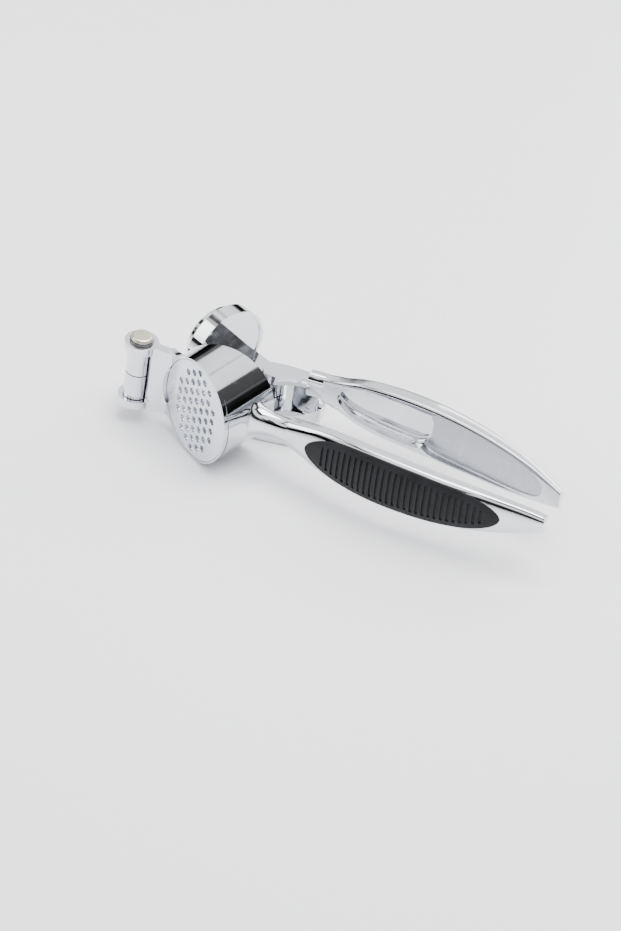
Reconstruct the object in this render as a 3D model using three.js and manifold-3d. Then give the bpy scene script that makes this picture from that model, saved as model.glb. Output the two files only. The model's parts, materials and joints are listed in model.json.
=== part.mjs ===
// Garlic press with a hinged lever and a swinging plunger, lying on its side.
// Millimetres. +X runs along the handles, +Z is the direction of every pivot pin.
// Everything is drawn about the main hinge axis, and moved to its resting frame at the end.
import * as THREE from 'three';
import { mergeVertices } from 'three/addons/utils/BufferGeometryUtils.js';
import Module from 'manifold-3d';

const wasm = await Module();
wasm.setup();

// ---- driving dimensions ----
const GAP = 0.3; // clearance between pieces that touch

const SIEVE_CENTRE = new THREE.Vector2(27.7, -10.4);
const SIEVE_TILT = THREE.MathUtils.degToRad(-32.5); // sieve plane, from +X
const MOUTH_CENTRE = new THREE.Vector2(31.7, 5.8);
const DRUM_RADIUS = 19.5;
const CAVITY_RADIUS = 18.2;
const LIP_RADIUS = 17.2;
const LIP_THICKNESS = 0.7;
const SIEVE_THICKNESS = 1.8;
const SIEVE_AIM = SIEVE_TILT - Math.PI / 2; // the way the garlic leaves
const SIEVE_COLUMNS = [4, 7, 8, 9, 8, 7, 4]; // holes in each column of the field
const SIEVE_PITCH = 4.08;
const SIEVE_HOLE_RADIUS = 1.25;

const EAR_RADIUS = 6.2;
const EAR_OUTER_Z = 13.2;
const EAR_THICKNESS = 3;
const TAB_THICKNESS = 3.4;
const TAB_START_X = 5.2;
const TAB_END_X = 14;
const PIN_RADIUS = 2.2;
const PIN_HEAD_RADIUS = 4.1;
const PIN_HEAD_HEIGHT = 1.3;
const WASHER_THICKNESS = 0.6;
const BARREL_RADIUS = 4.5;

const PLUNGER_PIVOT = new THREE.Vector2(42, 25);
const PLUNGER_CENTRE = new THREE.Vector2(22.1, 30.1); // middle of the disc's back face
const PLUNGER_AIM = THREE.MathUtils.degToRad(155.5); // the way the disc pushes
const PLUNGER_FLANGE_RADIUS = 15.6;
const PLUNGER_FLANGE = 5.5;
const PLUNGER_FACE_RADIUS = 13.4;
const PLUNGER_DEPTH = 9;
const STEM_BOTTOM = -6.7;
const STEM_TOP = -1.7;
const PIVOT_PIN_RADIUS = 2;

const WEB_TOP = -7;
const WEB_BOTTOM = -12;
const ARM_TOP = -16;
const ARM_BOTTOM = -19.4;

const WALL = 1.6; // wall of the hollow handles
const GRIP_DEPTH = 1.8; // depth of the inlay's seat
const GRIP_PROUD = 0.6; // how far the inlay stands above the metal
const GRIP_RIBS = 28;
const GRIP_MARGIN = 1.2; // metal left above and below the inlay
const GRIP_START = 70;
const GRIP_END = 146;
const RIB_BORDER = 6; // plain rubber before the first groove and after the last
const GROOVE_WIDTH = 0.8;
const GROOVE_HEIGHT_LOSS = 4.2; // how far a groove stops short of the handle's edge

// Handle stations: x, y of the outer skin, y of the inner edge, half height.
const FRONT_HANDLE = [
  [44, -7, 1.5, 6.2],
  [48, -6.3, 1.5, 5.2],
  [54, -5.8, 1.2, 4.6],
  [60, -6, 0.7, 4.8],
  [66, -7.1, -0.7, 6.1],
  [74, -9, -2.6, 8.2],
  [84, -11, -4.6, 9.7],
  [96, -12.7, -6.2, 10.4],
  [109, -13.3, -6.8, 10.4],
  [122, -12.8, -6.5, 9.8],
  [135, -10.9, -5, 8.6],
  [146, -8.2, -2.9, 6.8],
  [155, -5.4, -0.7, 4.8],
  [160.8, -3.6, 0.6, 3.3],
];
const REAR_HANDLE = [
  [56, 31.6, 25.4, 5],
  [62, 32.2, 26, 5.2],
  [68, 32.6, 25.8, 6.4],
  [75, 33, 25.2, 8.6],
  [84, 33.3, 24.7, 10],
  [96, 33.1, 24.3, 10.6],
  [109, 31.9, 23.4, 10.6],
  [122, 29.6, 21.8, 10],
  [135, 26.4, 19.5, 8.8],
  [146, 23, 17.3, 7],
  [154, 20, 15.3, 5],
  [159.5, 17.8, 13.9, 3.4],
];

// ---- finishes ----
const chrome = { color: 0xd9dbde, roughness: 0.12, metalness: 1 };
const satin = { color: 0xb4b7bb, roughness: 0.35, metalness: 1 };
const tarnished = { color: 0xb7ae93, roughness: 0.35, metalness: 1 };
const darkSteel = { color: 0x4a4a4c, roughness: 0.5, metalness: 0.8 };
const rubber = { color: 0x1d1e20, roughness: 0.75, metalness: 0 };

// ---- small helpers ----
function toSolid(geometry) {
  geometry.deleteAttribute('normal');
  geometry.deleteAttribute('uv');
  const merged = mergeVertices(geometry, 1e-4);
  const vertProperties = new Float32Array(merged.attributes.position.array);
  const triVerts = new Uint32Array(merged.index.array);
  return new wasm.Manifold(new wasm.Mesh({ numProp: 3, vertProperties, triVerts }));
}

function toMesh(name, solid, finish) {
  const data = solid.getMesh();
  const geometry = new THREE.BufferGeometry();
  geometry.setAttribute('position', new THREE.BufferAttribute(data.vertProperties, 3));
  geometry.setIndex(new THREE.BufferAttribute(data.triVerts, 1));
  geometry.computeVertexNormals();
  const mesh = new THREE.Mesh(geometry, new THREE.MeshStandardMaterial(finish));
  mesh.name = name;
  return mesh;
}

function joined(solids) {
  return solids.reduce((whole, piece) => whole.add(piece));
}

function cut(solid, tools) {
  return tools.reduce((whole, tool) => whole.subtract(tool), solid);
}

// A round bar along Z.
function bar(x, y, radius, z0, z1, sides = 24) {
  const geometry = new THREE.CylinderGeometry(radius, radius, z1 - z0, sides);
  geometry.rotateX(Math.PI / 2);
  geometry.translate(x, y, (z0 + z1) / 2);
  return toSolid(geometry);
}

// A flat plate along Z with a drawn outline.
function plate(points, z0, z1) {
  const shape = new THREE.Shape(points.map(([x, y]) => new THREE.Vector2(x, y)));
  const geometry = new THREE.ExtrudeGeometry(shape, { depth: z1 - z0, bevelEnabled: false });
  geometry.translate(0, 0, z0);
  return toSolid(geometry);
}

// A closed skin over rings of equally many points.
function skin(rings) {
  const sides = rings[0].length;
  const last = rings.length - 1;
  const positions = rings.flat().flatMap((point) => [point.x, point.y, point.z]);
  const faces = [];
  for (let ring = 0; ring < last; ring += 1) {
    for (let side = 0; side < sides; side += 1) {
      const next = (side + 1) % sides;
      const a = ring * sides + side;
      const b = ring * sides + next;
      const c = (ring + 1) * sides + next;
      const d = (ring + 1) * sides + side;
      faces.push(a, b, c, a, c, d);
    }
  }
  for (let side = 1; side < sides - 1; side += 1) {
    faces.push(0, side + 1, side);
    faces.push(last * sides, last * sides + side, last * sides + side + 1);
  }
  const geometry = new THREE.BufferGeometry();
  geometry.setAttribute('position', new THREE.Float32BufferAttribute(positions, 3));
  geometry.setIndex(faces);
  const solid = toSolid(geometry);
  if (solid.volume() > 0) return solid;
  geometry.setIndex(faces.reverse());
  return toSolid(geometry);
}

// A circle of points in a plane that holds Z and the in-plane direction given by tilt.
function hoop(centre, tilt, radius, sides = 40) {
  return Array.from({ length: sides }, (_, index) => {
    const turn = (index / sides) * 2 * Math.PI;
    const along = radius * Math.cos(turn);
    const x = centre.x + along * Math.cos(tilt);
    const y = centre.y + along * Math.sin(tilt);
    return new THREE.Vector3(x, y, radius * Math.sin(turn));
  });
}

// The point at a distance from a centre, in the direction of an angle.
function stepFrom(centre, angle, distance) {
  const x = centre.x + distance * Math.cos(angle);
  const y = centre.y + distance * Math.sin(angle);
  return new THREE.Vector2(x, y);
}

// A round disc whose axis lies in the XY plane, from one distance to another.
function disc(centre, axisAngle, radius, from, to, endRadius = radius, sides = 40) {
  const tilt = axisAngle - Math.PI / 2;
  const near = hoop(stepFrom(centre, axisAngle, from), tilt, radius, sides);
  const far = hoop(stepFrom(centre, axisAngle, to), tilt, endRadius, sides);
  return skin([near, far]);
}

// A closed section at x between two Y values, round on its first side and boxier on its second.
function section(x, roundY, boxyY, half, sides = 20) {
  const middle = (roundY + boxyY) / 2;
  const depth = (boxyY - roundY) / 2;
  return Array.from({ length: sides }, (_, index) => {
    const turn = ((index + 0.5) / sides) * 2 * Math.PI;
    const power = Math.cos(turn) > 0 ? 0.35 : 0.7;
    const across = Math.sign(Math.cos(turn)) * Math.abs(Math.cos(turn)) ** power;
    const upward = Math.sign(Math.sin(turn)) * Math.abs(Math.sin(turn)) ** power;
    return new THREE.Vector3(x, middle + depth * across, half * upward);
  });
}

function handleBody(stations) {
  return skin(stations.map(([x, outer, inner, half]) => section(x, outer, inner, half)));
}

// The hollow of a channel handle, open on its inner side, with a floor behind the inlay's seat.
function handleHollow(stations, first, last) {
  const floorDepth = GRIP_DEPTH + GAP + WALL;
  return skin(stations.slice(first, last).map(([x, outer, inner, half]) => {
    const reach = Math.sign(inner - outer);
    return section(x, outer + reach * floorDepth, inner + reach * 4, half - WALL);
  }));
}

// Outer skin and half height of a handle at x, between its stations.
function handleAt(stations, x) {
  const upper = stations.findIndex((station) => station[0] >= x);
  const [x0, outer0, , half0] = stations[upper - 1];
  const [x1, outer1, , half1] = stations[upper];
  const share = (x - x0) / (x1 - x0);
  return { outer: outer0 + share * (outer1 - outer0), half: half0 + share * (half1 - half0) };
}

// ---- grip inlays ----
// The inlay follows the handle's outer skin; grow widens it all round for its seat.
function gripBlank(stations, grow, depth, proud, outward) {
  const steps = 24;
  const rings = [];
  for (let index = 0; index <= steps; index += 1) {
    const share = (1 - Math.cos((index / steps) * Math.PI)) / 2;
    const start = GRIP_START - grow;
    const x = start + share * (GRIP_END + grow - start);
    const { outer, half } = handleAt(stations, x);
    const along = 2 * share - 1;
    const round = Math.sqrt(Math.max(0, 1 - Math.abs(along) ** 3.2));
    const reach = Math.max(0.6, (half - GRIP_MARGIN) * round) + grow;
    const low = outer - outward * depth;
    const high = outer + outward * proud;
    const edge = high - outward * 0.9;
    const ring = [[low, -reach], [edge, -reach], [high, -reach * 0.8], [high, reach * 0.8]];
    ring.push([edge, reach], [low, reach]);
    rings.push(ring.map(([y, z]) => new THREE.Vector3(x, y, z)));
  }
  return skin(rings);
}

function grip(stations, outward) {
  const blank = gripBlank(stations, 0, GRIP_DEPTH, GRIP_PROUD, outward);
  const grooves = [];
  const pitch = (GRIP_END - GRIP_START - 2 * RIB_BORDER) / GRIP_RIBS;
  for (let rib = 1; rib < GRIP_RIBS; rib += 1) {
    const x = GRIP_START + RIB_BORDER + rib * pitch;
    const { outer, half } = handleAt(stations, x);
    const height = 2 * (half - GROOVE_HEIGHT_LOSS);
    const geometry = new THREE.BoxGeometry(GROOVE_WIDTH, 1.2, height);
    geometry.translate(x, outer + outward * (GRIP_PROUD + 0.1), 0);
    grooves.push(toSolid(geometry));
  }
  return cut(blank, grooves);
}

// ---- hopper side ----
function hopperHandle() {
  const drum = skin([
    hoop(SIEVE_CENTRE, SIEVE_TILT, DRUM_RADIUS),
    hoop(MOUTH_CENTRE, 0, DRUM_RADIUS),
  ]);
  const tab = new THREE.Shape();
  tab.moveTo(TAB_START_X, -EAR_OUTER_Z);
  tab.lineTo(TAB_END_X, -EAR_OUTER_Z);
  tab.lineTo(TAB_END_X, EAR_OUTER_Z);
  tab.lineTo(TAB_START_X, EAR_OUTER_Z);
  const tabGeometry = new THREE.ExtrudeGeometry(tab, { depth: TAB_THICKNESS, bevelEnabled: false });
  tabGeometry.rotateX(Math.PI / 2);
  tabGeometry.translate(0, TAB_THICKNESS / 2, 0);
  const earInner = EAR_OUTER_Z - EAR_THICKNESS;
  const neckToTab = [[-1, -EAR_RADIUS + 0.2], [7, -TAB_THICKNESS / 2], [7, TAB_THICKNESS / 2]];
  neckToTab.push([-1, EAR_RADIUS - 0.2]);
  const ears = [1, -1].flatMap((side) => {
    const low = side > 0 ? earInner : -EAR_OUTER_Z;
    const high = side > 0 ? EAR_OUTER_Z : -earInner;
    return [bar(0, 0, EAR_RADIUS, low, high, 32), plate(neckToTab, low, high)];
  });
  const body = joined([drum, toSolid(tabGeometry), ...ears, handleBody(FRONT_HANDLE)]);
  const cavityFloor = stepFrom(SIEVE_CENTRE, SIEVE_AIM, -LIP_THICKNESS);
  const aboveMouth = new THREE.Vector2(MOUTH_CENTRE.x + 0.2, MOUTH_CENTRE.y + 8);
  const cavity = skin([
    hoop(cavityFloor, SIEVE_TILT, CAVITY_RADIUS),
    hoop(MOUTH_CENTRE, 0, CAVITY_RADIUS),
    hoop(aboveMouth, 0, CAVITY_RADIUS),
  ]);
  const seatTop = -(LIP_THICKNESS + SIEVE_THICKNESS + 2 * GAP);
  const sieveSeat = disc(SIEVE_CENTRE, SIEVE_AIM, CAVITY_RADIUS, seatTop, -LIP_THICKNESS);
  const window = disc(SIEVE_CENTRE, SIEVE_AIM, LIP_RADIUS, -4, 4);
  const bore = bar(0, 0, PIN_RADIUS + GAP, -20, 20);
  const hollow = handleHollow(FRONT_HANDLE, 5, 12);
  const seat = gripBlank(FRONT_HANDLE, GAP, GRIP_DEPTH + GAP, 3, -1);
  return cut(body, [cavity, sieveSeat, window, bore, hollow, seat]);
}

function sievePlate() {
  const inner = LIP_THICKNESS + GAP;
  const outer = inner + SIEVE_THICKNESS;
  const blank = disc(SIEVE_CENTRE, SIEVE_AIM, CAVITY_RADIUS - GAP, -outer, -inner);
  const columnStep = SIEVE_PITCH * Math.sqrt(3) / 2;
  const holes = SIEVE_COLUMNS.flatMap((count, column) => {
    const along = (column - (SIEVE_COLUMNS.length - 1) / 2) * columnStep;
    return Array.from({ length: count }, (_, row) => {
      const z = (row - (count - 1) / 2) * SIEVE_PITCH;
      const centre = stepFrom(SIEVE_CENTRE, SIEVE_TILT, along);
      const hole = disc(centre, SIEVE_AIM, SIEVE_HOLE_RADIUS, -4, 4, SIEVE_HOLE_RADIUS, 8);
      return hole.translate([0, 0, z]);
    });
  });
  return cut(blank, holes);
}

function hingePin() {
  const top = EAR_OUTER_Z + GAP + WASHER_THICKNESS + GAP;
  const profile = [[0, -EAR_OUTER_Z], [PIN_RADIUS, -EAR_OUTER_Z], [PIN_RADIUS, top]];
  profile.push([PIN_HEAD_RADIUS, top], [PIN_HEAD_RADIUS - 0.2, top + PIN_HEAD_HEIGHT * 0.5]);
  profile.push([PIN_HEAD_RADIUS * 0.66, top + PIN_HEAD_HEIGHT * 0.86], [0, top + PIN_HEAD_HEIGHT]);
  const points = profile.map(([radius, z]) => new THREE.Vector2(radius, z));
  const geometry = new THREE.LatheGeometry(points, 28);
  geometry.rotateX(Math.PI / 2);
  return toSolid(geometry);
}

function hingeWasher() {
  const low = EAR_OUTER_Z + GAP;
  const ring = bar(0, 0, PIN_HEAD_RADIUS + 0.3, low, low + WASHER_THICKNESS, 28);
  return cut(ring, [bar(0, 0, PIN_RADIUS + GAP, 0, 20)]);
}

function hingeBush() {
  const top = EAR_OUTER_Z - EAR_THICKNESS - GAP;
  return cut(bar(0, 0, BARREL_RADIUS, GAP / 2, top, 28), [bar(0, 0, PIN_RADIUS + GAP, -1, 20)]);
}

// ---- lever side ----
const LEVER_ARM = [
  [-6.5, 8.4], [-2, 7.6], [6, 7.9], [20, 9.2], [46, 11.8], [58, 15],
  [62, 24], [58, 32], [49, 30], [46, 21.5], [18, 18.6], [4, 17.2], [-4, 15.4],
];
const LEVER_WEB = [
  [49, 12.6], [56, 15.5], [62, 24], [62, 31.5], [50, 33], [42, 31], [36.5, 28.5], [35.5, 23.5],
  [38.5, 19.2], [44, 15],
];

function leverHandle() {
  const knuckleTop = -GAP / 2;
  const knuckleBottom = -(EAR_OUTER_Z - EAR_THICKNESS - GAP);
  const knuckle = bar(0, 0, BARREL_RADIUS, knuckleBottom, knuckleTop, 28);
  const crankPlan = [[-3.6, 0], [3.6, 0], [3.2, 9], [2, 16], [-3.5, 15.5], [-5.5, 9]];
  const crank = plate(crankPlan, knuckleBottom, knuckleTop);
  const postPlan = [[-5.2, 8.6], [3.2, 8.3], [2.4, 16.4], [-3.5, 15.5]];
  const post = plate(postPlan, ARM_BOTTOM, knuckleTop);
  const arm = plate(LEVER_ARM, ARM_BOTTOM, ARM_TOP);
  const web = plate(LEVER_WEB, WEB_BOTTOM, WEB_TOP);
  const riserPlan = [[49.5, 14.5], [55, 16.5], [60.5, 24], [60.5, 31], [50, 31], [49, 23]];
  const riser = plate(riserPlan, ARM_BOTTOM, WEB_TOP);
  const shoulder = plate([[49.5, 26.8], [60, 26.4], [60, 31.6], [49.5, 31.8]], WEB_BOTTOM, STEM_TOP);
  const solids = [knuckle, crank, post, arm, web, riser, shoulder, handleBody(REAR_HANDLE)];
  const hollow = handleHollow(REAR_HANDLE, 3, 10);
  const seat = gripBlank(REAR_HANDLE, GAP, GRIP_DEPTH + GAP, 3, 1);
  const mainBore = bar(0, 0, PIN_RADIUS + GAP, -20, 20);
  const pivot = PLUNGER_PIVOT;
  const pivotBore = bar(pivot.x, pivot.y, PIVOT_PIN_RADIUS + GAP, -20, 20);
  return cut(joined(solids), [hollow, seat, mainBore, pivotBore]);
}

function plungerPin() {
  const { x, y } = PLUNGER_PIVOT;
  const shaft = bar(x, y, PIVOT_PIN_RADIUS, WEB_BOTTOM - GAP, STEM_TOP + 0.2, 20);
  const lowHead = bar(x, y, PIVOT_PIN_RADIUS + 1.4, WEB_BOTTOM - GAP - 1.2, WEB_BOTTOM - GAP, 20);
  return joined([shaft, lowHead]);
}

function pressPlunger() {
  const centre = PLUNGER_CENTRE;
  const flange = disc(centre, PLUNGER_AIM, PLUNGER_FLANGE_RADIUS, 0, PLUNGER_FLANGE);
  const faceStart = PLUNGER_FLANGE - 0.5;
  const faceEnd = PLUNGER_FACE_RADIUS - 0.8;
  const face = disc(centre, PLUNGER_AIM, PLUNGER_FACE_RADIUS, faceStart, PLUNGER_DEPTH, faceEnd);
  const root = PLUNGER_AIM - Math.PI / 2;
  const nearEdge = stepFrom(stepFrom(centre, PLUNGER_AIM, 1), root, 9);
  const farEdge = stepFrom(stepFrom(centre, PLUNGER_AIM, 1), root, -5);
  const pivot = PLUNGER_PIVOT;
  const stemPlan = [[farEdge.x, farEdge.y], [pivot.x - 1.2, pivot.y - 4.4], [pivot.x + 3, pivot.y - 3.4]];
  stemPlan.push([pivot.x + 4.6, pivot.y], [pivot.x + 4, pivot.y + 5], [nearEdge.x, nearEdge.y]);
  const stem = plate(stemPlan, STEM_BOTTOM, STEM_TOP);
  const bore = bar(pivot.x, pivot.y, PIVOT_PIN_RADIUS + GAP, -20, 20);
  return cut(joined([flange, face, stem]), [bore]);
}

// ---- assembly ----
const press = new THREE.Group();
press.add(
  toMesh('hopper_handle', hopperHandle(), chrome),
  toMesh('sieve_plate', sievePlate(), satin),
  toMesh('front_grip', grip(FRONT_HANDLE, -1), rubber),
  toMesh('hinge_pin', hingePin(), tarnished),
  toMesh('hinge_washer', hingeWasher(), darkSteel),
  toMesh('hinge_bush', hingeBush(), chrome),
  toMesh('lever_handle', leverHandle(), chrome),
  toMesh('rear_grip', grip(REAR_HANDLE, 1), rubber),
  toMesh('plunger_pin', plungerPin(), satin),
  toMesh('press_plunger', pressPlunger(), chrome),
);

// The frame's origin is the middle of the box's bottom.
const box = new THREE.Box3().setFromObject(press);
const middle = box.getCenter(new THREE.Vector3());
press.position.set(-middle.x, -middle.y, -box.min.z);

export default press;
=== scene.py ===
import json
import math

import bmesh
import bpy
from bpy.props import FloatProperty, FloatVectorProperty, IntProperty, PointerProperty
from mathutils import Matrix, Vector


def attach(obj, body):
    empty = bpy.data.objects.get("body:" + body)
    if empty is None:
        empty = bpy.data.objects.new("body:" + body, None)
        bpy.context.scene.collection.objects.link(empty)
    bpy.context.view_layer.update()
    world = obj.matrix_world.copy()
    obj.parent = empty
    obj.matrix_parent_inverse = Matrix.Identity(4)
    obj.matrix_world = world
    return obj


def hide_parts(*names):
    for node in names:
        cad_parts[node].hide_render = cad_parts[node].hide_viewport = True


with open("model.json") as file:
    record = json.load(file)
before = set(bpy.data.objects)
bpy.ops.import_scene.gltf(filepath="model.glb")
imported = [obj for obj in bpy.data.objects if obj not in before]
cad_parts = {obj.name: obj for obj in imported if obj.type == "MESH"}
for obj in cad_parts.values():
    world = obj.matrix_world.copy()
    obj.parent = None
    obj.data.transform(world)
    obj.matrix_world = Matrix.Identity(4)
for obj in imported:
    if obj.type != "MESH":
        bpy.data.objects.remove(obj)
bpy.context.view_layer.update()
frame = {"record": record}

bl_info = {
    "name": "Garlic press",
    "version": (1, 0, 0),
    "blender": (4, 5, 0),
    "location": "3D View > Sidebar > Garlic press",
    "description": "Builds the finished pieces of a hinged garlic press round its packed frame",
    "category": "Add Mesh",
}

MM = 0.001
JOINTS = {joint["name"]: joint for joint in frame["record"]["behaviour"]["joints"]}
HINGE = Vector(JOINTS["lever_hinge"]["pos_m"])
PIVOT = Vector(JOINTS["plunger_hinge"]["pos_m"])

# Plan measures in millimetres from the main hinge, as X and Y.
SIEVE_CENTRE = Vector((27.7, -10.4))
SIEVE_TILT = math.radians(-32.5)
MOUTH_CENTRE = Vector((31.7, 5.8))
DRUM_RADIUS = 19.5
PLUNGER_CENTRE = Vector((22.1, 30.1))
PLUNGER_AIM = math.radians(155.5)

# Handle stations: x, y of the outer skin, y of the inner edge, half height.
FRONT_STATIONS = [
    (44, -7, 1.5, 6.2), (48, -6.3, 1.5, 5.2), (54, -5.8, 1.2, 4.6), (60, -6, 0.7, 4.8),
    (66, -7.1, -0.7, 6.1), (74, -9, -2.6, 8.2), (84, -11, -4.6, 9.7), (96, -12.7, -6.2, 10.4),
    (109, -13.3, -6.8, 10.4), (122, -12.8, -6.5, 9.8), (135, -10.9, -5, 8.6),
    (146, -8.2, -2.9, 6.8), (155, -5.4, -0.7, 4.8), (160.8, -3.6, 0.6, 3.3),
]
REAR_STATIONS = [
    (56, 31.6, 25.4, 5), (62, 32.2, 26, 5.2), (68, 32.6, 25.8, 6.4), (75, 33, 25.2, 8.6),
    (84, 33.3, 24.7, 10), (96, 33.1, 24.3, 10.6), (109, 31.9, 23.4, 10.6),
    (122, 29.6, 21.8, 10), (135, 26.4, 19.5, 8.8), (146, 23, 17.3, 7),
    (154, 20, 15.3, 5), (159.5, 17.8, 13.9, 3.4),
]
# Round parts and levels, in millimetres. Levels are heights from the middle plane, low then high.
CAVITY_RADIUS = 18.2
SIEVE_RADIUS = 18.85
SIEVE_SEAT_RADIUS = 19.0
SIEVE_THICKNESS = 1.9
EAR_OUTER_Z = 13.2
EAR_THICKNESS = 3
EAR_RADIUS = 6.2
BARREL_RADIUS = 4.5
PIN_RADIUS = 2.2
PIN_BORE_RADIUS = 2.5
PIN_HEAD_RADIUS = 4.1
PIN_HEAD_HEIGHT = 1.4
PIVOT_PIN_RADIUS = 2.0
PIVOT_BORE_RADIUS = 2.3
THROUGH = (-20, 20)
TAB_INSET = 0.04
ROOT_INSET = 0.02
WASHER_RADIUS = 4.4
WASHER_LEVELS = (EAR_OUTER_Z + 0.05, EAR_OUTER_Z + 0.75)
RIVET_SEAT = EAR_OUTER_Z + 0.9
BUSH_LEVELS = (0.15, EAR_OUTER_Z - EAR_THICKNESS - 0.3)
KNUCKLE_LEVELS = (-9.9, -0.15)
ARM_LEVELS = (-19.4, -16)
RISER_LEVELS = (-19.4, -7.01)
POST_LEVELS = (-19.39, -0.15)
CRANK_LEVELS = (-9.9, -0.16)
WEB_LEVELS = (-12, -7)
SHOULDER_LEVELS = (-11.99, -1.7)
CHEEK_LEVELS = (-1.2, 2.4)
STEM_LEVELS = (-6.7, -1.7)
GROOVE_LEVELS = (-5.4, -3.2)
FLANGE_RADIUS = 15.6
FLANGE_THICKNESS = 5.5
PUSH_FACE_RADIUS = 13.4
PUSH_FACE_EDGE_RADIUS = 12.6
PUSH_FACE_START = 5.0
PUSH_FACE_DEPTH = 9.2
DISH_RADIUS = 14.7
DISH_FLOOR_RADIUS = 14.2
DISH_DEPTH = 0.45
SWING_PIN_HEAD_RADIUS = 3.4
SWING_PIN_LEVELS = (-12.3, -2.7)
SWING_PIN_HEAD_LEVELS = (-13.5, -12.3)
GRIP_SPAN = (70, 146)
SIEVE_COLUMNS = (4, 7, 8, 9, 8, 7, 4)
HOLE_SIDES = 24
FINE_SIDES = 96
CORNER_SEGMENTS = 3
LOFT_CORNER_SEGMENTS = 10
EDGE_SEGMENTS = 2


# ---- settings ----
class PressSizes(bpy.types.PropertyGroup):
    edge_round: FloatProperty(
        name="Edge round", description="Radius on the cast edges",
        default=0.35 * MM, unit="LENGTH")
    grip_proud: FloatProperty(
        name="Grip height", description="How far the inlays stand above the metal",
        default=0.45 * MM, unit="LENGTH")
    grip_margin: FloatProperty(
        name="Grip margin", description="Metal left above and below each inlay",
        default=1.0 * MM, unit="LENGTH")
    grip_ribs: IntProperty(
        name="Grip ribs", description="Number of grooves across each inlay", default=28)
    hole_pitch: FloatProperty(
        name="Hole pitch", description="Distance between neighbouring sieve holes",
        default=4.08 * MM, unit="LENGTH")
    hole_radius: FloatProperty(
        name="Hole radius", description="Radius of a sieve hole",
        default=1.2 * MM, unit="LENGTH")


class PressColours(bpy.types.PropertyGroup):
    chrome: FloatVectorProperty(
        name="Chrome", description="Bright plate on the castings",
        default=(0.70, 0.71, 0.74), size=3, subtype="COLOR")
    # Darker plate for the handle hollows. Its darker colour there is painted shade in the recesses,
    # and its higher roughness is a duller finish. The swing pin takes it too, and the sieve plate
    # colour is a lighter copy of it.
    satin_and_painted_shade: FloatVectorProperty(
        name="Satin", description="Duller plate in the hollows",
        default=(0.44, 0.455, 0.485), size=3, subtype="COLOR")
    rubber: FloatVectorProperty(
        name="Rubber", description="Soft black inlays",
        default=(0.0075, 0.0078, 0.009), size=3, subtype="COLOR")
    rivet: FloatVectorProperty(
        name="Rivet", description="Tarnished plate on the rivet head",
        default=(0.60, 0.56, 0.45), size=3, subtype="COLOR")
    floor: FloatVectorProperty(
        name="Floor", description="Pale studio floor",
        default=(0.93, 0.935, 0.96), size=3, subtype="COLOR")


def sizes():
    return bpy.context.scene.press_sizes


def colours():
    return bpy.context.scene.press_colours


# ---- modelling helpers ----
def at(x, y, z=0.0):
    """The place of a plan point, in metres in the frame."""
    return HINGE + Vector((x, y, z)) * MM


def step_from(centre, angle, distance):
    return centre + distance * Vector((math.cos(angle), math.sin(angle)))


def object_mode():
    if bpy.context.object and bpy.context.object.mode != "OBJECT":
        bpy.ops.object.mode_set(mode="OBJECT")


def pick(*pieces):
    """Selects only these pieces, and makes the first the active one."""
    object_mode()
    bpy.ops.object.select_all(action="DESELECT")
    for piece in pieces:
        piece.select_set(True)
    bpy.context.view_layer.objects.active = pieces[0]


def clear_selection():
    object_mode()
    bpy.ops.object.select_all(action="DESELECT")


def settle(name):
    """Names the active object and puts its place into its mesh."""
    piece = bpy.context.active_object
    pick(piece)
    piece.name = name
    bpy.ops.object.transform_apply(location=True, rotation=True, scale=True)
    return piece


def edit(piece):
    pick(piece)
    bpy.ops.object.mode_set(mode="EDIT")
    bpy.ops.mesh.select_mode(type="VERT")
    bpy.ops.mesh.select_all(action="SELECT")


def face_outward(piece):
    edit(piece)
    bpy.ops.mesh.remove_doubles(threshold=1e-7)
    bpy.ops.mesh.normals_make_consistent(inside=False)
    object_mode()
    return piece


def modify(piece, kind, **settings):
    pick(piece)
    modifier = piece.modifiers.new(kind.title(), kind)
    for key, value in settings.items():
        setattr(modifier, key, value)
    bpy.ops.object.modifier_apply(modifier=modifier.name)
    return piece


def volume(piece):
    solid = bmesh.new()
    solid.from_mesh(piece.data)
    amount = solid.calc_volume(signed=True)
    solid.free()
    return amount


def combine(piece, tool, operation):
    """Joins or cuts two closed bodies, and raises if the result can't be right."""
    before = volume(piece)
    name = tool.name
    modify(piece, "BOOLEAN", operation=operation, object=tool, solver="EXACT",
           material_mode="TRANSFER")
    bpy.data.objects.remove(tool, do_unlink=True)
    after = volume(piece)
    grew = after > before * 1.0001
    shrank = after < before * 0.9999
    if after <= 0 or (grew and operation != "UNION") or (shrank and operation == "UNION"):
        raise RuntimeError(f"{piece.name}: {operation} with {name} went from {before} to {after}")
    return piece


def join(piece, tool):
    return combine(piece, tool, "UNION")


def cut(piece, tool):
    return combine(piece, tool, "DIFFERENCE")


def overlap(piece, tool):
    return combine(piece, tool, "INTERSECT")


def coat(piece, material):
    piece.data.materials.clear()
    piece.data.materials.append(material)
    return piece


def upright(name, x, y, radius, low, high, sides=64):
    """A round bar along Z."""
    clear_selection()
    bpy.ops.mesh.primitive_cylinder_add(
        vertices=sides, radius=radius * MM, depth=(high - low) * MM,
        location=at(x, y, (low + high) / 2))
    return settle(name)


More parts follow.
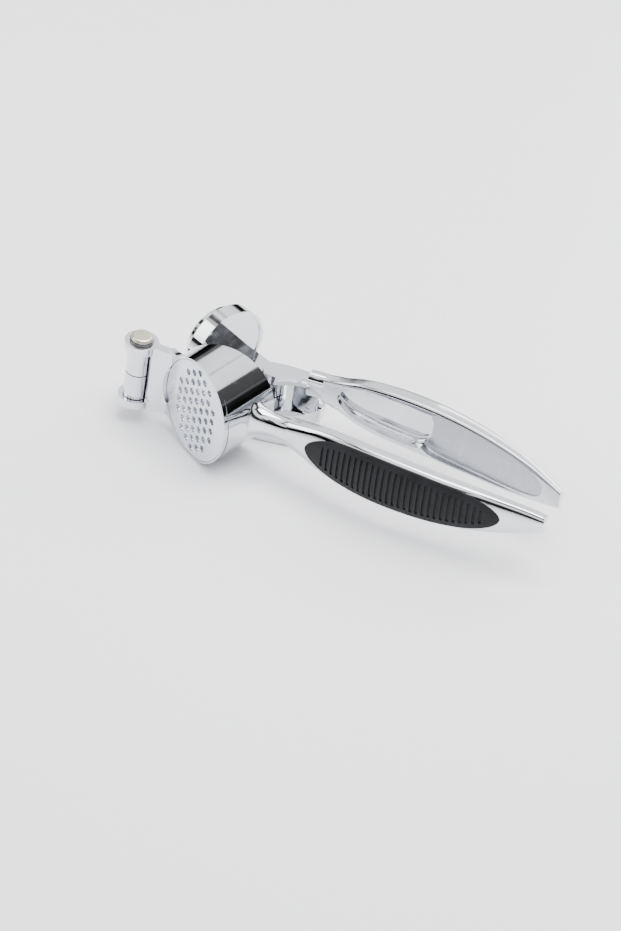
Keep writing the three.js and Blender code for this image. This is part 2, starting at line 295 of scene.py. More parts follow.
def drum(name, near, near_tilt, near_radius, far, far_tilt, far_radius, sides=128):
    """A round skin between two hoops that stand upright in the frame."""
    clear_selection()
    hoops = []
    for centre, tilt, radius in ((near, near_tilt, near_radius), (far, far_tilt, far_radius)):
        bpy.ops.mesh.primitive_circle_add(
            vertices=sides, radius=radius * MM, location=at(centre.x, centre.y),
            rotation=(math.pi / 2, 0, tilt))
        hoops.append(bpy.context.active_object)
    pick(*hoops)
    bpy.ops.object.join()
    piece = settle(name)
    edit(piece)
    bpy.ops.mesh.select_mode(type="EDGE")
    bpy.ops.mesh.select_all(action="SELECT")
    bpy.ops.mesh.bridge_edge_loops()
    bpy.ops.mesh.select_all(action="SELECT")
    bpy.ops.mesh.fill_holes(sides=0)
    object_mode()
    return face_outward(piece)


def disc(name, centre, axis, radius, start, end, end_radius=None):
    """A round disc whose axis lies level in the frame."""
    tilt = axis - math.pi / 2
    end_radius = radius if end_radius is None else end_radius
    near = step_from(centre, axis, start)
    far = step_from(centre, axis, end)
    return drum(name, near, tilt, radius, far, tilt, end_radius)


def prism(name, points, push, round_off=0.0):
    """A flat outline drawn point by point, closed, its corners rounded, and pushed out."""
    clear_selection()
    bpy.ops.mesh.primitive_plane_add(size=MM, location=points[0])
    piece = settle(name)
    edit(piece)
    bpy.ops.mesh.merge(type="CENTER")
    for here, after in zip(points, points[1:]):
        bpy.ops.mesh.extrude_region_move(TRANSFORM_OT_translate={"value": after - here})
    bpy.ops.mesh.select_all(action="SELECT")
    bpy.ops.mesh.edge_face_add()
    if round_off:
        bpy.ops.mesh.bevel(offset=round_off * MM, segments=CORNER_SEGMENTS, affect="VERTICES")
        bpy.ops.mesh.select_all(action="SELECT")
    bpy.ops.mesh.extrude_region_move(TRANSFORM_OT_translate={"value": push})
    object_mode()
    return face_outward(piece)


def slab(name, outline, low, high, round_off=0.0):
    """A plate with a drawn plan outline, its upright corners rounded."""
    points = [at(x, y, low) for x, y in outline]
    return prism(name, points, Vector((0, 0, (high - low) * MM)), round_off)


def smooth_value(stations, x, column):
    """A station value at x, on a smooth curve through the stations."""
    upper = next((i for i, row in enumerate(stations) if row[0] >= x), len(stations) - 1)
    upper = max(upper, 1)
    rows = [stations[min(max(upper + k, 0), len(stations) - 1)] for k in (-2, -1, 0, 1)]
    (x0, y0), (x1, y1), (x2, y2), (x3, y3) = [(row[0], row[column]) for row in rows]
    span = x2 - x1
    t = (x - x1) / span
    slope1 = (y2 - y0) / max(x2 - x0, 1e-6) * span
    slope2 = (y3 - y1) / max(x3 - x1, 1e-6) * span
    h1 = 2 * t ** 3 - 3 * t ** 2 + 1
    h2 = t ** 3 - 2 * t ** 2 + t
    h3 = -2 * t ** 3 + 3 * t ** 2
    h4 = t ** 3 - t ** 2
    return h1 * y1 + h2 * slope1 + h3 * y2 + h4 * slope2


def section_loft(name, sections, round_low, round_high):
    """A bar along X through sections of x, low y, high y and half height.

    It starts as a square with rounded corners, and is extruded and resized from
    section to section. round_low and round_high round the corners on each side.
    """
    x0, low, high, half = sections[0]
    middle = Vector(at(x0, (low + high) / 2))
    clear_selection()
    bpy.ops.mesh.primitive_plane_add(size=2, location=middle, rotation=(0, math.pi / 2, 0))
    piece = settle(name)
    for side, amount in ((-1, round_low), (1, round_high)):
        if not amount:
            continue
        edit(piece)
        bpy.ops.mesh.select_all(action="DESELECT")
        object_mode()
        for vertex in piece.data.vertices:
            offset = vertex.co - middle
            is_corner = abs(abs(offset.y) - 1) < 1e-4 and abs(abs(offset.z) - 1) < 1e-4
            vertex.select = is_corner and offset.y * side > 0
        bpy.ops.object.mode_set(mode="EDIT")
        bpy.ops.mesh.bevel(offset=amount, segments=LOFT_CORNER_SEGMENTS, affect="VERTICES")
        object_mode()
    edit(piece)
    scale = (1, (high - low) / 2 * MM, half * MM)
    bpy.ops.transform.resize(value=scale, center_override=middle)
    bpy.ops.mesh.select_mode(type="FACE")
    bpy.ops.mesh.select_all(action="SELECT")
    for (xa, la, ha, za), (xb, lb, hb, zb) in zip(sections, sections[1:]):
        move = at(xb, (lb + hb) / 2) - at(xa, (la + ha) / 2)
        bpy.ops.mesh.extrude_region_move(TRANSFORM_OT_translate={"value": move})
        scale = (1, (hb - lb) / (ha - la), zb / za)
        bpy.ops.transform.resize(value=scale, center_override=at(xb, (lb + hb) / 2))
    object_mode()
    return face_outward(piece)


def handle_sections(stations, start, end, grow=0.0, grow_half=None, deep=0.0, open_by=0.0,
                    count=64):
    """Sections of a handle between two x values, grown or shrunk evenly."""
    grow_half = grow if grow_half is None else grow_half
    rows = []
    for index in range(count + 1):
        x = start + (end - start) * index / count
        outer = smooth_value(stations, x, 1)
        inner = smooth_value(stations, x, 2)
        half = smooth_value(stations, x, 3) + grow_half
        reach = 1 if inner > outer else -1
        outer += reach * (deep - grow)
        inner += reach * (open_by + grow)
        rows.append((x, min(outer, inner), max(outer, inner), half))
    return rows


def round_ended(sections):
    """The same sections, with their half heights drawn in to a blunt round at both ends."""
    start, end = sections[0][0], sections[-1][0]
    rows = []
    for x, low, high, half in sections:
        along = abs(2 * (x - start) / (end - start) - 1)
        rows.append((x, low, high, half * max(0.35, (1 - along ** 7) ** 0.5)))
    return rows


def handle_loft(name, stations, start, end, **changes):
    outer_is_low = stations[0][1] < stations[0][2]
    rounds = (0.86, 0.3) if outer_is_low else (0.3, 0.86)
    return section_loft(name, handle_sections(stations, start, end, **changes), *rounds)


def finish_edges(piece, width=None, angle=34):
    """Rounds the sharp edges a little and shades the rest smooth."""
    width = sizes().edge_round if width is None else width
    face_outward(piece)
    modify(piece, "BEVEL", width=width, segments=EDGE_SEGMENTS, limit_method="ANGLE",
           angle_limit=math.radians(angle), use_clamp_overlap=True)
    face_outward(piece)
    pick(piece)
    bpy.ops.object.shade_smooth_by_angle(angle=math.radians(38))
    modify(piece, "WEIGHTED_NORMAL", keep_sharp=True)
    return piece


def seat_piece(piece, body, slot, *nodes):
    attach(piece, body)
    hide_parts(*nodes)


# ---- finishes ----
def new_finish(name):
    material = bpy.data.materials.new(name)
    material.use_nodes = True
    nodes = material.node_tree.nodes
    return material, nodes, material.node_tree.links, nodes["Principled BSDF"]


def noise(nodes, links, scale, detail=4.0, roughness=0.5):
    place = nodes.new("ShaderNodeTexCoord")
    texture = nodes.new("ShaderNodeTexNoise")
    texture.inputs["Scale"].default_value = scale
    texture.inputs["Detail"].default_value = detail
    texture.inputs["Roughness"].default_value = roughness
    links.new(place.outputs["Object"], texture.inputs["Vector"])
    return texture


def spread(nodes, links, source, low, high):
    """Maps a texture's middle range onto low to high."""
    remap = nodes.new("ShaderNodeMapRange")
    remap.inputs["From Min"].default_value = 0.3
    remap.inputs["From Max"].default_value = 0.7
    remap.inputs["To Min"].default_value = low
    remap.inputs["To Max"].default_value = high
    links.new(source, remap.inputs["Value"])
    return remap.outputs["Result"]


def tint(nodes, links, source, dark, light):
    ramp = nodes.new("ShaderNodeValToRGB")
    ramp.color_ramp.elements[0].position = 0.32
    ramp.color_ramp.elements[1].position = 0.68
    ramp.color_ramp.elements[0].color = (*dark, 1)
    ramp.color_ramp.elements[1].color = (*light, 1)
    links.new(source, ramp.inputs["Fac"])
    return ramp.outputs["Color"]


def bump(nodes, links, source, strength, distance, shader):
    node = nodes.new("ShaderNodeBump")
    node.inputs["Strength"].default_value = strength
    node.inputs["Distance"].default_value = distance
    links.new(source, node.inputs["Height"])
    links.new(node.outputs["Normal"], shader.inputs["Normal"])


def shaded(colour, factor):
    return tuple(min(1.0, channel * factor) for channel in colour)


def metal(name, colour, rough_low, rough_high, waviness, grain):
    """Plated metal: a slow casting wave, fine grain, and roughness that drifts."""
    material, nodes, links, shader = new_finish(name)
    shader.inputs["Metallic"].default_value = 1.0
    slow = noise(nodes, links, 70, 2.0)
    fine = noise(nodes, links, 1800, 5.0, 0.6)
    colour_out = tint(nodes, links, slow.outputs["Fac"], shaded(colour, 0.95), shaded(colour, 1.03))
    links.new(colour_out, shader.inputs["Base Color"])
    drift = noise(nodes, links, 240, 4.0)
    rough = spread(nodes, links, drift.outputs["Fac"], rough_low, rough_high)
    links.new(rough, shader.inputs["Roughness"])
    total = nodes.new("ShaderNodeMath")
    total.operation = "MULTIPLY_ADD"
    links.new(fine.outputs["Fac"], total.inputs[0])
    total.inputs[1].default_value = grain
    links.new(slow.outputs["Fac"], total.inputs[2])
    bump(nodes, links, total.outputs["Value"], waviness, 0.0004, shader)
    return material


def rubber_finish(name, colour):
    material, nodes, links, shader = new_finish(name)
    skin = noise(nodes, links, 2600, 6.0, 0.65)
    dust = noise(nodes, links, 130, 5.0, 0.6)
    colour_out = tint(nodes, links, dust.outputs["Fac"], shaded(colour, 0.75), shaded(colour, 1.9))
    links.new(colour_out, shader.inputs["Base Color"])
    rough = spread(nodes, links, dust.outputs["Fac"], 0.5, 0.62)
    shader.inputs["Specular IOR Level"].default_value = 0.22
    links.new(rough, shader.inputs["Roughness"])
    bump(nodes, links, skin.outputs["Fac"], 0.25, 0.00012, shader)
    return material


def floor_finish(name, colour):
    material, nodes, links, shader = new_finish(name)
    cloud = noise(nodes, links, 3.0, 2.0)
    colour_out = tint(nodes, links, cloud.outputs["Fac"], shaded(colour, 0.985), shaded(colour, 1.01))
    links.new(colour_out, shader.inputs["Base Color"])
    shader.inputs["Roughness"].default_value = 0.16
    shader.inputs["Specular IOR Level"].default_value = 0.35
    return material


def finish_named(name):
    """The shared finish of that name, made when first asked for."""
    if name in bpy.data.materials:
        return bpy.data.materials[name]
    palette = colours()
    makers = {
        "bright_chrome": lambda: metal(name, palette.chrome, 0.04, 0.1, 0.09, 0.03),
        # Darker plate: painted shade on the hollow and trough walls, and the swing pin's duller
        # satin.
        "satin_plate_and_painted_shade": lambda: metal(name, palette.satin_and_painted_shade, 0.24, 0.36, 0.16, 0.25),
        "sieve_plate_finish": lambda: metal(name, shaded(palette.satin_and_painted_shade, 1.5), 0.16, 0.26, 0.1, 0.12),
        "tarnished_plate": lambda: metal(name, palette.rivet, 0.24, 0.42, 0.2, 0.3),
        "shadowed_steel": lambda: metal(name, (0.045, 0.046, 0.05), 0.35, 0.5, 0.1, 0.1),
        "dark_steel": lambda: metal(name, (0.06, 0.06, 0.065), 0.35, 0.5, 0.1, 0.2),
        "soft_rubber": lambda: rubber_finish(name, palette.rubber),
        "studio_floor": lambda: floor_finish(name, palette.floor),
    }
    return makers[name]()


# ---- grips ----
def grip_reach(stations, x, margin):
    """Half height of an inlay at x: it follows the handle and closes in round ends."""
    start, end = GRIP_SPAN
    along = abs(2 * (x - start) / (end - start) - 1)
    rounding = max(0.0, 1 - along ** 5) ** 0.5
    return max(0.35, (smooth_value(stations, x, 3) - margin) * rounding)


def grip_outline(name, stations, grow):
    """A long rounded prism through the handle, as high as the inlay."""
    start, end = GRIP_SPAN
    start -= grow
    end += grow
    margin = sizes().grip_margin / MM
    rows = []
    count = 72
    for index in range(count + 1):
        x = start + (end - start) * (1 - math.cos(math.pi * index / count)) / 2
        inside = min(max(x, GRIP_SPAN[0]), GRIP_SPAN[1])
        reach = grip_reach(stations, inside, margin) + grow
        outer = smooth_value(stations, x, 1)
        rows.append((x, outer - 4.2, outer + 4.2, reach))
    return section_loft(name, rows, 0, 0)


def grip_grooves(name, stations):
    """Thin upright blades, one for each groove."""
    start, end = GRIP_SPAN
    count = sizes().grip_ribs
    blades = []
    for index in range(count):
        x = start + 7.5 + (end - start - 14) * index / (count - 1)
        reach = grip_reach(stations, x, sizes().grip_margin / MM) - 2.4
        clear_selection()
        bpy.ops.mesh.primitive_cube_add(size=1, location=at(x, smooth_value(stations, x, 1)))
        bpy.context.active_object.scale = (0.95 * MM, 8 * MM, 2 * reach * MM)
        blades.append(settle("blade"))
    pick(*blades)
    bpy.ops.object.join()
    return settle(name)


def build_grip(name, stations):
    start, end = GRIP_SPAN
    proud = sizes().grip_proud / MM
    piece = handle_loft(name, stations, start - 2, end + 2, grow=proud, grow_half=0.2)
    overlap(piece, grip_outline("outline", stations, 0))
    cut(piece, handle_loft("core", stations, start - 3, end + 3, grow=-1.6, open_by=8))
    grooves = grip_grooves("grooves", stations)
    cut(grooves, handle_loft("floor", stations, start - 2, end + 2, grow=proud - 0.55))
    cut(piece, grooves)
    coat(piece, finish_named("soft_rubber"))
    return finish_edges(piece, width=0.16 * MM, angle=30)


def grip_seat(stations):
    """What an inlay's seat takes out of its handle."""
    start, end = GRIP_SPAN
    seat = grip_outline("seat", stations, 0.12)
    return cut(seat, handle_loft("seat_floor", stations, start - 3, end + 3, grow=-1.9))


# ---- hopper side ----
def sieve_web():
    """The flat stretch that carries the tab into the round sieve face with a hollow curve."""
    curve = [(-20.5, 13.2), (-17.5, 13.35), (-15, 14.1), (-12.5, 15.4), (-9.5, 17.1)]
    outline = curve + [(along, -height) for along, height in reversed(curve)]
    points = []
    for along, height in outline:
        place = step_from(SIEVE_CENTRE, SIEVE_TILT, along)
        place = step_from(place, SIEVE_TILT + math.pi / 2, 0.05)
        points.append(at(place.x, place.y, height))
    inward = step_from(Vector((0, 0)), SIEVE_TILT + math.pi / 2, 2.4 * MM)
    return prism("sieve_web", points, Vector((inward.x, inward.y, 0)))


def flared(row):
    """A neck section that widens like a fillet where it leaves the drum."""
    x, low, high, half = row
    swell = 0.3 * math.exp((48 - x) / 2.4)
    middle = (low + high) / 2
    reach = (high - low) / 2 * (1 + swell)
    return (x, middle - reach, middle + reach, half * (1 + swell))


def build_hopper():
    chrome = finish_named("bright_chrome")
    satin_and_painted_shade = finish_named("satin_plate_and_painted_shade")
    piece = drum("hopper_casting", SIEVE_CENTRE, SIEVE_TILT, DRUM_RADIUS,
                 MOUTH_CENTRE, 0, DRUM_RADIUS)
    coat(piece, chrome)
    join(piece, coat(sieve_web(), chrome))
    neck_rows = [flared(row) for row in handle_sections(FRONT_STATIONS, 46.5, 65.5, count=24)]
    join(piece, coat(section_loft("neck", neck_rows, 0.92, 0.92), chrome))
    join(piece, coat(handle_loft("handle", FRONT_STATIONS, 61, FRONT_STATIONS[-1][0]), chrome))
    tab_plan = [(5.2, -1.7), (13, -1.7), (14, 0.6), (13, 1.7), (5.2, 1.7)]
    join(piece, coat(slab("tab", tab_plan, TAB_INSET - EAR_OUTER_Z, EAR_OUTER_Z - TAB_INSET), chrome))
    inner = EAR_OUTER_Z - EAR_THICKNESS
    for low, high in ((inner, EAR_OUTER_Z), (-EAR_OUTER_Z, -inner)):
        ear = coat(upright("ear", 0, 0, EAR_RADIUS, low, high, FINE_SIDES), chrome)
        root_plan = [(-1, -6), (7, -1.6), (7, 1.6), (-1, 6)]
        join(ear, coat(slab("ear_root", root_plan, low + ROOT_INSET, high - ROOT_INSET), chrome))
        join(piece, ear)
    aim = SIEVE_TILT - math.pi / 2
    floor = step_from(SIEVE_CENTRE, aim, -2)
    mouth_top = Vector((MOUTH_CENTRE.x + 0.05, MOUTH_CENTRE.y + 2))
    cavity = drum("cavity", floor, SIEVE_TILT, CAVITY_RADIUS, mouth_top, 0, CAVITY_RADIUS)
    cut(piece, coat(cavity, chrome))
    cut(piece, coat(disc("sieve_seat", SIEVE_CENTRE, aim, SIEVE_SEAT_RADIUS, -2.2, 3), chrome))
    cut(piece, upright("bore", 0, 0, PIN_BORE_RADIUS, *THROUGH))
    # The hollow's walls take the darker plate: painted shade in the handle's channel.
    hollow = handle_loft("hollow", FRONT_STATIONS, 76, 148, grow=-1.1, grow_half=-1.5,
                         deep=2.6, open_by=6)
    cut(piece, coat(hollow, satin_and_painted_shade))
    cut(piece, coat(grip_seat(FRONT_STATIONS), chrome))
    finish_edges(piece)
    seat_piece(piece, "hopper_side", "chrome", "hopper_handle")


def build_sieve():
    aim = SIEVE_TILT - math.pi / 2
    piece = disc("sieve_disc", SIEVE_CENTRE, aim, SIEVE_RADIUS, -SIEVE_THICKNESS, 0)
    pitch = sizes().hole_pitch / MM
    radius = sizes().hole_radius / MM
    punches = []
    for column, count in enumerate(SIEVE_COLUMNS):
        along = (column - (len(SIEVE_COLUMNS) - 1) / 2) * pitch * math.sqrt(3) / 2
        centre = step_from(SIEVE_CENTRE, SIEVE_TILT, along)
        for row in range(count):
            height = (row - (count - 1) / 2) * pitch
            middle = at(centre.x, centre.y, height)
            clear_selection()
            bpy.ops.mesh.primitive_cylinder_add(
                vertices=HOLE_SIDES, radius=radius * MM, depth=8 * MM, location=middle,
                rotation=(math.pi / 2, 0, SIEVE_TILT))
            punches.append(settle("punch"))
    pick(*punches)
    bpy.ops.object.join()
    cut(piece, coat(settle("punches"), finish_named("shadowed_steel")))
    coat(piece, finish_named("sieve_plate_finish"))
    finish_edges(piece, width=0.22 * MM)
    seat_piece(piece, "hopper_side", "satin_metal", "sieve_plate")


def build_hinge():
    crown = RIVET_SEAT + PIN_HEAD_HEIGHT
    head = upright("rivet", 0, 0, PIN_RADIUS, -EAR_OUTER_Z, RIVET_SEAT + 0.1, 48)
    dome = upright("dome", 0, 0, PIN_HEAD_RADIUS, RIVET_SEAT, crown, FINE_SIDES)
    edit(dome)
    bpy.ops.mesh.select_all(action="DESELECT")
    object_mode()
    top = at(0, 0, crown).z
    for vertex in dome.data.vertices:
        vertex.select = abs(vertex.co.z - top) < 1e-6
    bpy.ops.object.mode_set(mode="EDIT")
    bpy.ops.mesh.bevel(offset=1.1 * MM, segments=8, profile=0.5, affect="EDGES")
    object_mode()
    join(head, dome)
    coat(head, finish_named("tarnished_plate"))
    finish_edges(head, width=0.12 * MM)
    seat_piece(head, "hopper_side", "tarnished_metal", "hinge_pin")
    washer = upright("washer", 0, 0, WASHER_RADIUS, *WASHER_LEVELS, FINE_SIDES)
    cut(washer, upright("washer_hole", 0, 0, PIN_BORE_RADIUS, 5, 20))
    coat(washer, finish_named("dark_steel"))
    finish_edges(washer, width=0.1 * MM)
    seat_piece(washer, "hopper_side", "dark_steel", "hinge_washer")
    bush = upright("bush", 0, 0, BARREL_RADIUS, *BUSH_LEVELS, FINE_SIDES)
    cut(bush, upright("bush_hole", 0, 0, PIN_BORE_RADIUS, -5, 20))
    coat(bush, finish_named("bright_chrome"))
    finish_edges(bush, width=0.25 * MM)
    seat_piece(bush, "hopper_side", "chrome", "hinge_bush")


# ---- lever side ----
def build_lever():
    chrome = finish_named("bright_chrome")
    satin_and_painted_shade = finish_named("satin_plate_and_painted_shade")
    piece = coat(handle_loft("lever_casting", REAR_STATIONS, 61, REAR_STATIONS[-1][0]), chrome)
    neck_rows = handle_sections(REAR_STATIONS, 55, 67, count=16)
    join(piece, coat(section_loft("lever_neck", neck_rows, 0.8, 0.8), chrome))
    arm_plan = [(-6.5, 8.4), (-2, 7.6), (6, 7.9), (20, 9.2), (46, 11.8), (58, 15), (62, 24),
                (58, 32), (49, 30), (46, 21.5), (18, 18.6), (4, 17.2), (-4, 15.4)]
    web_plan = [(49, 12.6), (56, 15.5), (62, 24), (62, 31.5), (50, 33), (42, 31), (36.5, 28.5),
                (35.5, 23.5), (38.5, 19.2), (44, 15)]
    riser_plan = [(49.5, 14.5), (55, 16.5), (60.5, 24), (60.5, 31), (50, 31), (49, 23)]
    shoulder_plan = [(49.5, 26.8), (60, 26.4), (60, 31.6), (49.5, 31.8)]
    cheek_plan = [(37.5, 24.5), (40, 21), (44, 20.8), (52, 25.6), (61, 26.6), (61, 31.4),
                  (46, 30.4), (39, 28.8)]
    crank_plan = [(-3.6, 0), (3.6, 0), (3.2, 9), (2, 16), (-3.5, 15.5), (-5.5, 9)]
    post_plan = [(-5.2, 8.6), (3.2, 8.3), (2.4, 16.4), (-3.5, 15.5)]
    # Name, plan, low and high level, corner rounding.
    plates = [
        ("web", web_plan, *WEB_LEVELS, 1.6),
        ("riser", riser_plan, *RISER_LEVELS, 1.2),
        ("shoulder", shoulder_plan, *SHOULDER_LEVELS, 0.8),
        ("cheek", cheek_plan, *CHEEK_LEVELS, 1.2),
        ("arm", arm_plan, *ARM_LEVELS, 2.0),
        ("post", post_plan, *POST_LEVELS, 1.0),
        ("crank", crank_plan, *CRANK_LEVELS, 1.0),
    ]
    for name, plan, low, high, round_off in plates:
        join(piece, coat(slab(name, plan, low, high, round_off), chrome))
    join(piece, coat(upright("knuckle", 0, 0, BARREL_RADIUS, *KNUCKLE_LEVELS, FINE_SIDES), chrome))
    cut(piece, upright("bore", 0, 0, PIN_BORE_RADIUS, *THROUGH))
    pivot = (PIVOT - HINGE) / MM
    cut(piece, upright("pivot_bore", pivot.x, pivot.y, PIVOT_BORE_RADIUS, -20, -4))
    pocket = handle_sections(REAR_STATIONS, 67, 104, grow_half=-2.2, deep=3.7, open_by=6)
    cut(piece, coat(section_loft("pocket", round_ended(pocket), 0.3, 0.3), chrome))
    # The trough's walls take the darker plate: painted shade in the lever's channel.
    trough = handle_sections(REAR_STATIONS, 99, 153, grow_half=-1.2, deep=5.0, open_by=6)
    cut(piece, coat(section_loft("trough", round_ended(trough), 0.3, 0.3), satin_and_painted_shade))
    cut(piece, coat(grip_seat(REAR_STATIONS), chrome))
    finish_edges(piece)
    seat_piece(piece, "lever", "chrome", "lever_handle")


def build_plunger():
    chrome = finish_named("bright_chrome")
    piece = disc("plunger", PLUNGER_CENTRE, PLUNGER_AIM, FLANGE_RADIUS, 0, FLANGE_THICKNESS)
    join(piece, disc("face", PLUNGER_CENTRE, PLUNGER_AIM, PUSH_FACE_RADIUS, PUSH_FACE_START,
                     PUSH_FACE_DEPTH, PUSH_FACE_EDGE_RADIUS))
    cut(piece, disc("dish", PLUNGER_CENTRE, PLUNGER_AIM, DISH_RADIUS, -1, DISH_DEPTH,
                    DISH_FLOOR_RADIUS))
    root = PLUNGER_AIM - math.pi / 2
    seat = step_from(PLUNGER_CENTRE, PLUNGER_AIM, 1)
    near = step_from(seat, root, 9)
    far = step_from(seat, root, -5)
    pivot = (PIVOT - HINGE) / MM
    plan = [tuple(far), (pivot.x - 1.2, pivot.y - 4.4), (pivot.x + 3, pivot.y - 3.4),
            (pivot.x + 4.6, pivot.y), (pivot.x + 4, pivot.y + 5), tuple(near)]
    join(piece, slab("stem", plan, *STEM_LEVELS))
    groove_plan = [(24, 23.4), (39.5, 19.6), (39.9, 22), (24.4, 25.9)]
    cut(piece, slab("stem_groove", groove_plan, *GROOVE_LEVELS))
    cut(piece, upright("pivot_bore", pivot.x, pivot.y, PIVOT_BORE_RADIUS, -20, -2.4))
    coat(piece, chrome)
    finish_edges(piece)
    seat_piece(piece, "plunger", "chrome", "press_plunger")
    pin = upright("swing_pin", pivot.x, pivot.y, PIVOT_PIN_RADIUS, *SWING_PIN_LEVELS)
    join(pin, upright("swing_pin_head", pivot.x, pivot.y, SWING_PIN_HEAD_RADIUS,
                      *SWING_PIN_HEAD_LEVELS))
    coat(pin, finish_named("satin_plate_and_painted_shade"))
    finish_edges(pin, width=0.3 * MM)
    seat_piece(pin, "lever", "satin_metal", "plunger_pin")


# ---- stage ----
CAMERA_AZIMUTH = math.radians(20)
CAMERA_ELEVATION = math.radians(36.4)
CAMERA_ROLL = math.radians(8.36)
CAMERA_DISTANCE = 3.0
SENSOR_WIDTH = 36  # millimetres, as the lens length is
VIEW_WIDTH = 0.2217857  # metres across the view, at the hinge
HINGE_FROM_MIDDLE = Vector((-0.0616, 0.0341))  # metres right of and above the view's middle
CAMERA_REACH = 20
FLOOR_SIZE = 6
FLOOR_LEVEL = -0.0003
# Lights that all aim at the frame's middle: name, place, size and power.
LIGHTS = (
    ("overhead", (0.1, 0.1, 0.9), (0.9, 0.7), 16),
    ("left_card", (-0.8, -0.3, 0.5), (0.5, 0.7), 4),
    ("back_card", (0.2, 0.9, 0.5), (0.9, 0.4), 4),
)
# The studio's brightness from straight down (0) to straight up (1).
SKY_STOPS = [(0.0, 0.75), (0.5, 0.6), (0.505, 0.02), (0.63, 0.015), (0.69, 0.9), (0.9, 1.15)]
SKY_STRENGTH = 1.75


def add_camera():
    a, e = CAMERA_AZIMUTH, CAMERA_ELEVATION
    back = Vector((math.sin(a) * math.cos(e), -math.cos(a) * math.cos(e), math.sin(e)))
    level = Vector((math.cos(a), math.sin(a), 0))
    rise = back.cross(level)
    right = level * math.cos(CAMERA_ROLL) + rise * math.sin(CAMERA_ROLL)
    up = back.cross(right)
    target = HINGE - right * HINGE_FROM_MIDDLE.x - up * HINGE_FROM_MIDDLE.y
    clear_selection()
    bpy.ops.object.camera_add(location=target + back * CAMERA_DISTANCE)
    camera = bpy.context.active_object
    camera.name = "camera"
    turn = Matrix((right, up, back)).transposed()
    camera.rotation_euler = turn.to_euler()
    camera.data.sensor_fit = "HORIZONTAL"
    camera.data.sensor_width = SENSOR_WIDTH
    camera.data.lens = SENSOR_WIDTH * CAMERA_DISTANCE / VIEW_WIDTH
    camera.data.clip_end = CAMERA_REACH
    camera.data.dof.use_dof = False
    bpy.context.scene.camera = camera


def add_light(name, place, size, energy):
    clear_selection()
    bpy.ops.object.light_add(type="AREA", location=place)
    light = bpy.context.active_object
    light.name = name
    light.data.shape = "RECTANGLE"
    light.data.size, light.data.size_y = size
    light.data.energy = energy
    direction = -Vector(place)
    light.rotation_euler = direction.to_track_quat("-Z", "Y").to_euler()


def add_world():
    world = bpy.data.worlds.new("studio")
    bpy.context.scene.world = world
    world.use_nodes = True
    nodes = world.node_tree.nodes
    links = world.node_tree.links
    background = nodes["Background"]
    place = nodes.new("ShaderNodeTexCoord")
    split = nodes.new("ShaderNodeSeparateXYZ")
    ramp = nodes.new("ShaderNodeValToRGB")
    remap = nodes.new("ShaderNodeMapRange")
    remap.inputs["From Min"].default_value = -1
    links.new(place.outputs["Generated"], split.inputs["Vector"])
    links.new(split.outputs["Z"], remap.inputs["Value"])
    links.new(remap.outputs["Result"], ramp.inputs["Fac"])
    cards = nodes.new("ShaderNodeTexNoise")
    cards.inputs["Scale"].default_value = 2.1
    cards.inputs["Detail"].default_value = 1.0
    links.new(place.outputs["Generated"], cards.inputs["Vector"])
    gaps = nodes.new("ShaderNodeMapRange")
    gaps.inputs["From Min"].default_value = 0.44
    gaps.inputs["From Max"].default_value = 0.50
    gaps.inputs["To Min"].default_value = 0.06
    links.new(cards.outputs["Fac"], gaps.inputs["Value"])
    softbox = nodes.new("ShaderNodeMix")
    softbox.data_type = "RGBA"
    softbox.blend_type = "MULTIPLY"
    softbox.inputs["Factor"].default_value = 1.0
    links.new(ramp.outputs["Color"], softbox.inputs["A"])
    links.new(gaps.outputs["Result"], softbox.inputs["B"])
    links.new(softbox.outputs["Result"], background.inputs["Color"])
    elements = ramp.color_ramp.elements
    while len(elements) < len(SKY_STOPS):
        elements.new(0.5)
    for element, (position, value) in zip(elements, SKY_STOPS):
        element.position = position
        element.color = (value, value * 1.005, value * 1.02, 1)
    background.inputs["Strength"].default_value = SKY_STRENGTH


def build_stage():
    clear_selection()
    bpy.ops.mesh.primitive_plane_add(size=FLOOR_SIZE, location=(0, 0, FLOOR_LEVEL))
    floor = settle("floor")
    coat(floor, finish_named("studio_floor"))
    add_world()
    for light in LIGHTS:
        add_light(*light)
    add_camera()


# ---- operators ----
class PRESS_OT_stage(bpy.types.Operator):
    """Adds the floor, lights and camera"""
    bl_idname = "press.stage"
    bl_label = "Stage"

    def execute(self, context):
        build_stage()
        return {"FINISHED"}


class PRESS_OT_hopper(bpy.types.Operator):
    """Builds the hopper with its handle, tab and hinge ears"""
    bl_idname = "press.hopper"
    bl_label = "Hopper and handle"

    def execute(self, context):
        build_hopper()
        return {"FINISHED"}


class PRESS_OT_sieve(bpy.types.Operator):
    """Builds the perforated sieve disc"""
    bl_idname = "press.sieve"
    bl_label = "Sieve"

    def execute(self, context):
        build_sieve()
        return {"FINISHED"}


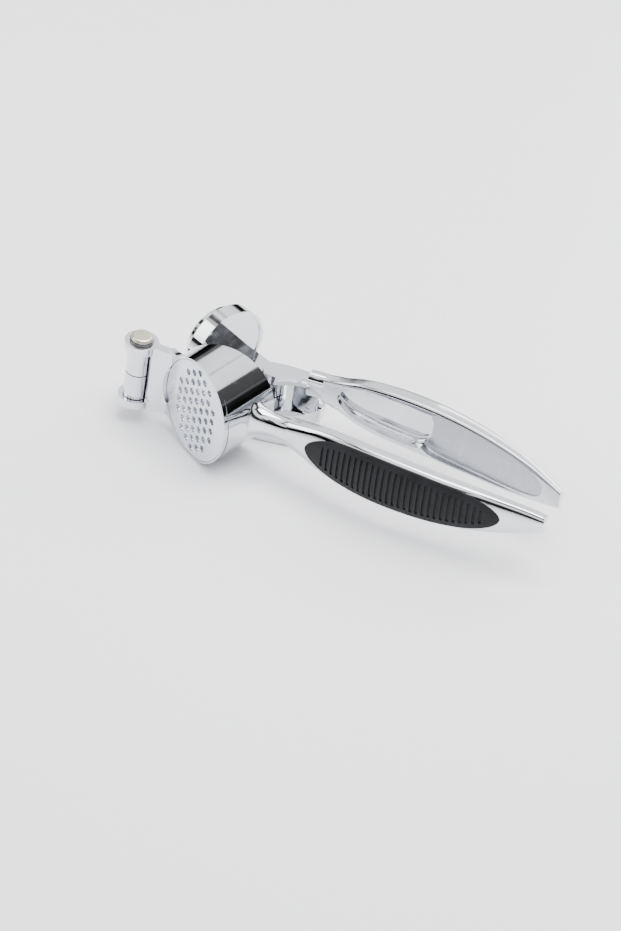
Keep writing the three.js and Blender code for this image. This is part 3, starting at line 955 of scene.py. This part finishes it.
class PRESS_OT_hinge(bpy.types.Operator):
    """Builds the rivet, its washer and the bush"""
    bl_idname = "press.hinge"
    bl_label = "Hinge"

    def execute(self, context):
        build_hinge()
        return {"FINISHED"}


class PRESS_OT_lever(bpy.types.Operator):
    """Builds the lever with its low arm"""
    bl_idname = "press.lever"
    bl_label = "Lever"

    def execute(self, context):
        build_lever()
        return {"FINISHED"}


class PRESS_OT_plunger(bpy.types.Operator):
    """Builds the swinging plunger and its pin"""
    bl_idname = "press.plunger"
    bl_label = "Plunger"

    def execute(self, context):
        build_plunger()
        return {"FINISHED"}


class PRESS_OT_grips(bpy.types.Operator):
    """Builds the two ribbed rubber inlays"""
    bl_idname = "press.grips"
    bl_label = "Grips"

    def execute(self, context):
        front = build_grip("front_inlay", FRONT_STATIONS)
        seat_piece(front, "hopper_side", "rubber", "front_grip")
        rear = build_grip("rear_inlay", REAR_STATIONS)
        seat_piece(rear, "lever", "rubber", "rear_grip")
        return {"FINISHED"}


STEPS = ("stage", "hopper", "sieve", "hinge", "lever", "plunger", "grips")


class PRESS_PT_panel(bpy.types.Panel):
    """Lists the building steps and their settings"""
    bl_label = "Garlic press"
    bl_idname = "PRESS_PT_panel"
    bl_space_type = "VIEW_3D"
    bl_region_type = "UI"
    bl_category = "Garlic press"

    def draw(self, context):
        for step in STEPS:
            self.layout.operator("press." + step)
        for group in (context.scene.press_sizes, context.scene.press_colours):
            for key in group.__annotations__:
                self.layout.prop(group, key)


CLASSES = (
    PressSizes, PressColours, PRESS_OT_stage, PRESS_OT_hopper, PRESS_OT_sieve, PRESS_OT_hinge,
    PRESS_OT_lever, PRESS_OT_plunger, PRESS_OT_grips, PRESS_PT_panel,
)


def register():
    for item in CLASSES:
        bpy.utils.register_class(item)
    bpy.types.Scene.press_sizes = PointerProperty(type=PressSizes)
    bpy.types.Scene.press_colours = PointerProperty(type=PressColours)


def unregister():
    del bpy.types.Scene.press_colours
    del bpy.types.Scene.press_sizes
    for item in reversed(CLASSES):
        bpy.utils.unregister_class(item)


def main():
    register()
    for step in STEPS:
        getattr(bpy.ops.press, step)()


if __name__ == "__main__":
    main()
